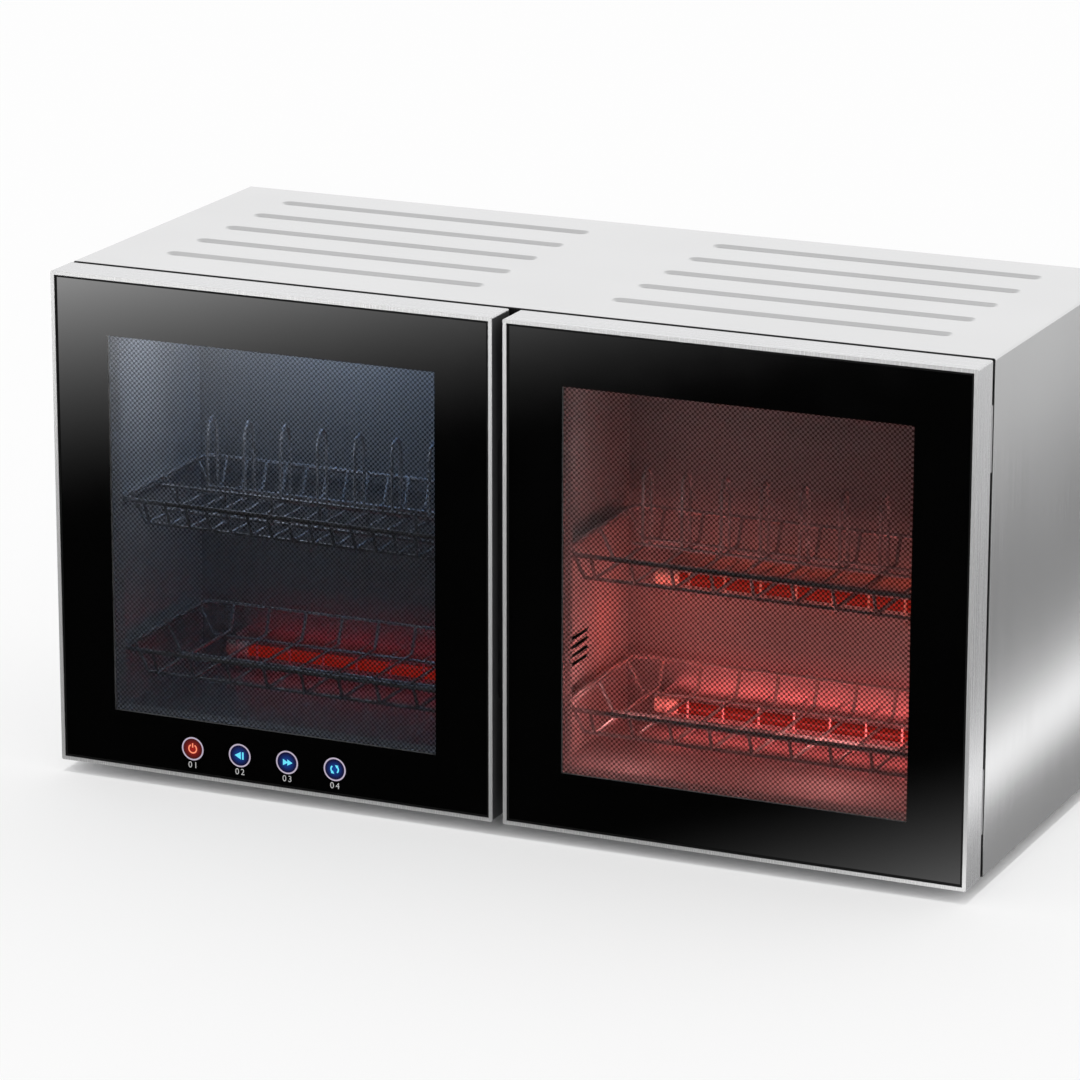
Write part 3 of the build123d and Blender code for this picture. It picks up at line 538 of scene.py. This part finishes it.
def beside(spot, x, z=0.0):
    """A place at a distance from a spot, to the right and upwards."""
    return spot + Vector((x, 0, z))


def round_spot(spot, radius, angle):
    """A place at a radius and an angle round a spot, seen from the front."""
    return beside(spot, radius * math.cos(angle), radius * math.sin(angle))


def arc_strip(bm, centre, radii, start, sweep, steps):
    """A flat strip bent round a centre, seen from the front, between two radii."""
    ends = [bm.verts.new(round_spot(centre, radius, start)) for radius in radii]
    edge = bm.edges.new(ends)
    bmesh.ops.spin(
        bm,
        geom=ends + [edge],
        axis=(0, -1, 0),
        cent=centre,
        angle=sweep,
        steps=steps,
        use_merge=sweep >= 2 * math.pi,
    )


def bar(bm, centre, size):
    """A flat bar, seen from the front."""
    flat_sheet(bm, centre, *size, standing=True)


def arrow_head(bm, centre, size, turn):
    """A flat triangle that points along a direction, seen from the front."""
    turned = Matrix.Translation(centre) @ Matrix.Rotation(-turn, 4, "Y")
    place = turned @ stand_up @ Matrix.Rotation(-math.pi / 2, 4, "Z")
    bmesh.ops.create_circle(bm, cap_ends=True, segments=3, radius=size, matrix=place)


def lit_print(name, colour, strength):
    """Ink lit from behind."""
    return lit(name, colour, strength, base=(0.02, 0.02, 0.02))


def key_disc(name, rim_colour, middle_colour):
    """Lit disc behind a key, brightest in the middle."""
    material, tree, place, shader = new_finish(name)
    along = maths(tree, "SUBTRACT", axis_of(tree, place, "X"), key_spots[0].x)
    turn = maths(tree, "DIVIDE", along, key_pitch)
    across = maths(tree, "MULTIPLY", maths(tree, "SUBTRACT", turn, maths(tree, "ROUND", turn)), key_pitch)
    upward = maths(tree, "SUBTRACT", axis_of(tree, place, "Z"), key_z)
    squares = maths(tree, "MULTIPLY_ADD", across, across, maths(tree, "MULTIPLY", upward, upward))
    reach = spread(tree, maths(tree, "SQRT", squares), 0.0, 1.0, 0.0, 0.75 * key_radius)
    wire_up(
        tree,
        shader,
        Base_Color=grey(0.01),
        Roughness=0.2,
        Emission_Color=blended(tree, reach, (*middle_colour, 1.0), (*rim_colour, 1.0)),
        Emission_Strength=1.0,
    )
    return material


rim_light = lit_print("rim_light", (0.60, 0.52, 0.66), 0.9)
red_light = key_disc("red_light", (0.07, 0.001, 0.001), (0.34, 0.008, 0.004))
blue_light = key_disc("blue_light", (0.0005, 0.0005, 0.035), (0.0, 0.05, 0.30))
icon_red = lit_print("icon_red", (1.0, 0.26, 0.14), 1.15)
icon_blue = lit_print("icon_blue", (0.14, 0.78, 1.0), 1.15)
white_ink = moulded("white_ink", (0.62, 0.62, 0.62), 0.55)


def printed(name, artwork, material):
    """Flat artwork as a thin print on the left door's pane."""
    thicken(artwork, film_thickness / 2)
    new_piece(name, artwork, "left_door", material)


def key_rims():
    """Pale rings round the touch keys."""
    rims = bmesh.new()
    for spot in key_spots:
        arc_strip(rims, spot, (key_radius - rim_width, key_radius), 0, 2 * math.pi, 48)
    printed("key_rims", rims, rim_light)


def key_discs(name, spots, material):
    """Glowing discs inside the rims."""
    discs = bmesh.new()
    for spot in spots:
        place = Matrix.Translation(spot) @ stand_up
        bmesh.ops.create_circle(
            discs, cap_ends=True, segments=48, radius=key_radius - rim_width, matrix=place
        )
    printed(name, discs, material)


def power_symbol(spot):
    """A ring that is open at the top, with a stem in the opening."""
    power = bmesh.new()
    arc_strip(power, spot, power_arc, math.radians(120), math.radians(300), 30)
    bar(power, beside(spot, 0, power_arc[0]), power_stem)
    printed("power_symbol", power, icon_red)


def key_symbols(left_spot, right_spot, turn_spot):
    """An arrow with a bar, two arrows, and two bent arrows that follow each other."""
    signs = bmesh.new()
    arrow_head(signs, beside(left_spot, -0.0008), left_arrow, math.pi)
    bar(signs, beside(left_spot, 0.0028), left_bar)
    arrow_head(signs, beside(right_spot, -0.0020), right_arrows, 0)
    arrow_head(signs, beside(right_spot, 0.0018), right_arrows, 0)
    middle_radius = sum(turn_arc) / 2
    for turn in (0, math.pi):
        arc_strip(signs, turn_spot, turn_arc, turn - math.radians(50), math.radians(100), 12)
        tip = round_spot(turn_spot, middle_radius, turn + math.radians(55))
        arrow_head(signs, tip, turn_arrow, turn + math.radians(145))
    printed("key_symbols", signs, icon_blue)


def key_caption(number, spot):
    """A plain number under a key."""
    curve = bpy.data.curves.new("caption", "FONT")
    curve.body = f"0{number}"
    curve.size = caption_height
    curve.space_character = caption_spacing
    curve.align_x = "CENTER"
    curve.align_y = "CENTER"
    letter = bpy.data.objects.new("caption", curve)
    mesh = bpy.data.meshes.new_from_object(letter)
    bpy.data.objects.remove(letter)
    caption = bmesh.new()
    caption.from_mesh(mesh)
    bmesh.ops.remove_doubles(caption, verts=caption.verts, dist=1e-6)
    place = Matrix.Translation(beside(spot, 0, -caption_drop)) @ stand_up
    bmesh.ops.transform(caption, matrix=place, verts=caption.verts)
    printed(f"key_caption_{number}", caption, white_ink)


key_rims()
key_discs("red_key_disc", key_spots[:1], red_light)
key_discs("blue_key_discs", key_spots[1:], blue_light)
power_symbol(sign_spots[0])
key_symbols(*sign_spots[1:])
for number, spot in enumerate(key_spots, start=1):
    key_caption(number, spot)


# ---------------------------------------------------------------- stage
floor_share = 0.5                # how far the floor's own white lifts the object's shadow
card_z = 0.0012
card_lean = math.radians(30)     # the front glows run at this angle to the doors
glow_fade = 2.4
left_glow = (-1.90, -1.00, 7.2)  # where it is full, where it ends, and its level
right_glow = (0.225, -0.06, 2.6)
side_card_x = 0.38               # where the bands beside the casing start
band_reach = 0.62
side_bands = (                   # distance from the start, and level
    (0.0, 0.30),
    (0.055, 0.32),
    (0.105, 1.70),
    (0.14, 0.45),
    (0.19, 0.20),
    (0.30, 0.20),
    (0.40, 0.34),
    (0.49, 0.88),
    (0.54, 0.50),
    (band_reach, 0.50),
)


def stage_plane(name, x_range, y_range, z, material):
    """A level sheet that isn't part of the object."""
    bm = bmesh.new()
    centre = ((x_range[0] + x_range[1]) / 2, (y_range[0] + y_range[1]) / 2, z)
    flat_sheet(bm, centre, x_range[1] - x_range[0], y_range[1] - y_range[0], standing=False)
    mesh = bpy.data.meshes.new(name)
    bm.to_mesh(mesh)
    bm.free()
    mesh.materials.append(material)
    sheet = bpy.data.objects.new(name, mesh)
    bpy.context.scene.collection.objects.link(sheet)
    return sheet


def seen_directly(tree):
    """1 for what the camera, metal and glass show, and 0 for light that falls on things."""
    ray = tree.nodes.new("ShaderNodeLightPath").outputs
    shown = maths(tree, "MAXIMUM", ray["Is Camera Ray"], ray["Is Glossy Ray"])
    return maths(tree, "MAXIMUM", shown, ray["Is Transmission Ray"])


def floor_finish():
    """White floor, brighter in the object's shadow than the light alone makes it, but not under it."""
    material, tree, place, shader = new_finish("studio_floor")
    across = maths(tree, "ABSOLUTE", axis_of(tree, place, "X"))
    depth = axis_of(tree, place, "Y")
    aside = maths(tree, "GREATER_THAN", across, casing_high.x)
    ahead = maths(tree, "LESS_THAN", depth, door_front_y)
    behind = maths(tree, "GREATER_THAN", depth, casing_high.y)
    clear = maths(tree, "MAXIMUM", aside, maths(tree, "MAXIMUM", ahead, behind))
    share = maths(tree, "MULTIPLY", maths(tree, "MULTIPLY", seen_directly(tree), clear), floor_share)
    wire_up(tree, shader, Base_Color=grey(0.97), Roughness=0.9, Specular_IOR_Level=0.0)
    white = add_node(tree, "ShaderNodeEmission", None, Color=grey(1.0), Strength=1.0)
    mixed_result(tree, share, shader, white)
    return material


def card_material(name, level_of):
    """A studio card that glows by a level worked out from a place on the floor."""
    material = bpy.data.materials.new(name)
    material.use_nodes = True
    tree = material.node_tree
    tree.nodes.clear()
    place = tree.nodes.new("ShaderNodeTexCoord").outputs["Object"]
    level = level_of(tree, place)
    glow = add_node(tree, "ShaderNodeEmission", None, Color=grey(1.0), Strength=level)
    result = tree.nodes.new("ShaderNodeOutputMaterial")
    tree.links.new(glow.outputs[0], result.inputs[0])
    return material


def front_level(tree, place):
    """Two glows that fade towards the middle of the doors."""
    lean = (math.cos(card_lean), math.sin(card_lean), 0)
    along = add_node(
        tree, "ShaderNodeVectorMath", {"operation": "DOT_PRODUCT"}, _0=place, _1=lean
    ).outputs["Value"]
    glows = []
    for full, end, level in (left_glow, right_glow):
        near = spread(tree, along, 0.0, 1.0, end, full)
        glows.append(maths(tree, "MULTIPLY", maths(tree, "POWER", near, glow_fade), level))
    return maths(tree, "ADD", *glows)


def side_level(tree, place):
    """Light and dark bands beside the casing."""
    offset = spread(tree, axis_of(tree, place, "X"), 0.0, 1.0, side_card_x, side_card_x + band_reach)
    ramp = add_node(tree, "ShaderNodeValToRGB", None, Fac=offset)
    ramp.color_ramp.interpolation = "EASE"
    steps = ramp.color_ramp.elements
    steps[0].color = grey(side_bands[0][1])
    steps[1].color = grey(side_bands[-1][1])
    for distance, level in side_bands[1:-1]:
        steps.new(distance / band_reach).color = grey(level)
    return ramp.outputs[0]


def reflected_card(name, x_range, y_range, level_of):
    """A card on the floor that only reflections see."""
    card = stage_plane(name, x_range, y_range, card_z, card_material(name, level_of))
    card.visible_camera = False
    card.visible_diffuse = False
    card.visible_transmission = False
    card.visible_volume_scatter = False
    card.visible_shadow = False


stage_plane("studio_floor", (-20, 20), (-20, 20), 0.0, floor_finish())
reflected_card("front_card", (-1.27, 1.6), (-6.0, -0.19), front_level)
reflected_card("side_card", (0.386, 1.15), (-0.3, 2.6), side_level)


# ---------------------------------------------------------------- light
def white_studio():
    """A white world, which metal and glass see a little darker overhead."""
    world = bpy.data.worlds.new("studio")
    bpy.context.scene.world = world
    world.use_nodes = True
    tree = world.node_tree
    sky = tree.nodes["Background"]
    sky.inputs["Color"].default_value = grey(1.0)
    direction = tree.nodes.new("ShaderNodeTexCoord").outputs["Generated"]
    overhead = spread(tree, axis_of(tree, direction, "Z"), 1.0, 0.68, 0.35, 0.85)
    mirrored = tree.nodes.new("ShaderNodeLightPath").outputs["Is Glossy Ray"]
    level = add_node(tree, "ShaderNodeMix", None, _0=mirrored, _2=1.0, _3=overhead)
    tree.links.new(level.outputs[0], sky.inputs["Strength"])


tube_lamp_ahead = 0.03           # lamp to its tube's middle
tube_lamp_tilt = math.radians(65)


def hidden_lamp(name, kind, place, power, colour):
    """A lamp that the camera doesn't see, directly or through glass."""
    lamp = bpy.data.lights.new(name, kind)
    lamp.energy = power
    lamp.color = colour
    holder = bpy.data.objects.new(name, lamp)
    holder.location = place
    holder.visible_camera = False
    holder.visible_transmission = False
    bpy.context.scene.collection.objects.link(holder)
    return holder


def tube_glow(node, power, colour):
    """Light of a tube, as a lamp of its length that faces the door and the chamber's floor."""
    low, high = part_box(node)
    place = (low + high) / 2 - Vector((0, tube_lamp_ahead, 0))
    holder = hidden_lamp(f"{node}_glow", "AREA", place, power, colour)
    holder.rotation_euler = (tube_lamp_tilt, 0, 0)
    holder.data.shape = "RECTANGLE"
    holder.data.size = high.x - low.x
    holder.data.size_y = high.z - low.z


def corner_lamp(name, side, inset, power, colour, radius=0.03):
    """A small lamp at a distance from a chamber's left, front and lower faces.

    Polished walls don't mirror it.
    """
    holder = hidden_lamp(name, "POINT", chamber[side][0] + Vector(inset), power, colour)
    holder.data.shadow_soft_size = radius
    holder.visible_glossy = False


white_studio()
tube_glow("left_lower_heater_tube", 0.024, (1.0, 0.0, 0.03))
tube_glow("right_lower_heater_tube", 0.23, (1.0, 0.12, 0.11))
tube_glow("right_middle_heater_tube", 0.060, (1.0, 0.10, 0.04))
tube_glow("uv_lamp_tube", 0.12, (0.25, 0.52, 1.0))
corner_lamp("left_chamber_fill", "left", (0.11, 0.12, 0.29), 0.58, (0.74, 0.84, 1.0))
corner_lamp("left_wall_fill", "left", (0.08, 0.06, 0.11), 0.025, (0.80, 0.86, 1.0))
corner_lamp("right_chamber_fill", "right", (0.08, 0.08, 0.25), 0.16, (1.0, 0.80, 0.78))
corner_lamp("right_wall_glow", "right", (0.05, 0.20, 0.10), 0.22, (1.0, 0.12, 0.09), 0.02)
corner_lamp("right_floor_glow", "right", (0.06, 0.08, 0.06), 0.42, (1.0, 0.34, 0.31), 0.02)
corner_lamp("right_front_glow", "right", (0.22, 0.11, 0.06), 0.78, (1.0, 0.32, 0.29))

# ---------------------------------------------------------------- camera
photo_width = 1080               # pixels
focal_pixels = 5383.75
sensor_width = 36.0              # millimetres
camera_place = (1.63699, -3.74335, 1.36150)
camera_turn = math.radians(24.14)
camera_tilt = math.radians(90 - 15.966)
camera_roll = math.radians(0.0756)

camera = bpy.data.cameras.new("camera")
camera.sensor_width = sensor_width
camera.lens = focal_pixels / photo_width * sensor_width
camera.clip_start = 0.1
camera.clip_end = 100.0
viewer = bpy.data.objects.new("camera", camera)
viewer.location = camera_place
turned = Matrix.Rotation(camera_turn, 3, "Z") @ Matrix.Rotation(camera_tilt, 3, "X")
viewer.rotation_euler = (turned @ Matrix.Rotation(camera_roll, 3, "Z")).to_euler()
bpy.context.scene.collection.objects.link(viewer)
bpy.context.scene.camera = viewer
bpy.context.scene.view_settings.view_transform = "Standard"
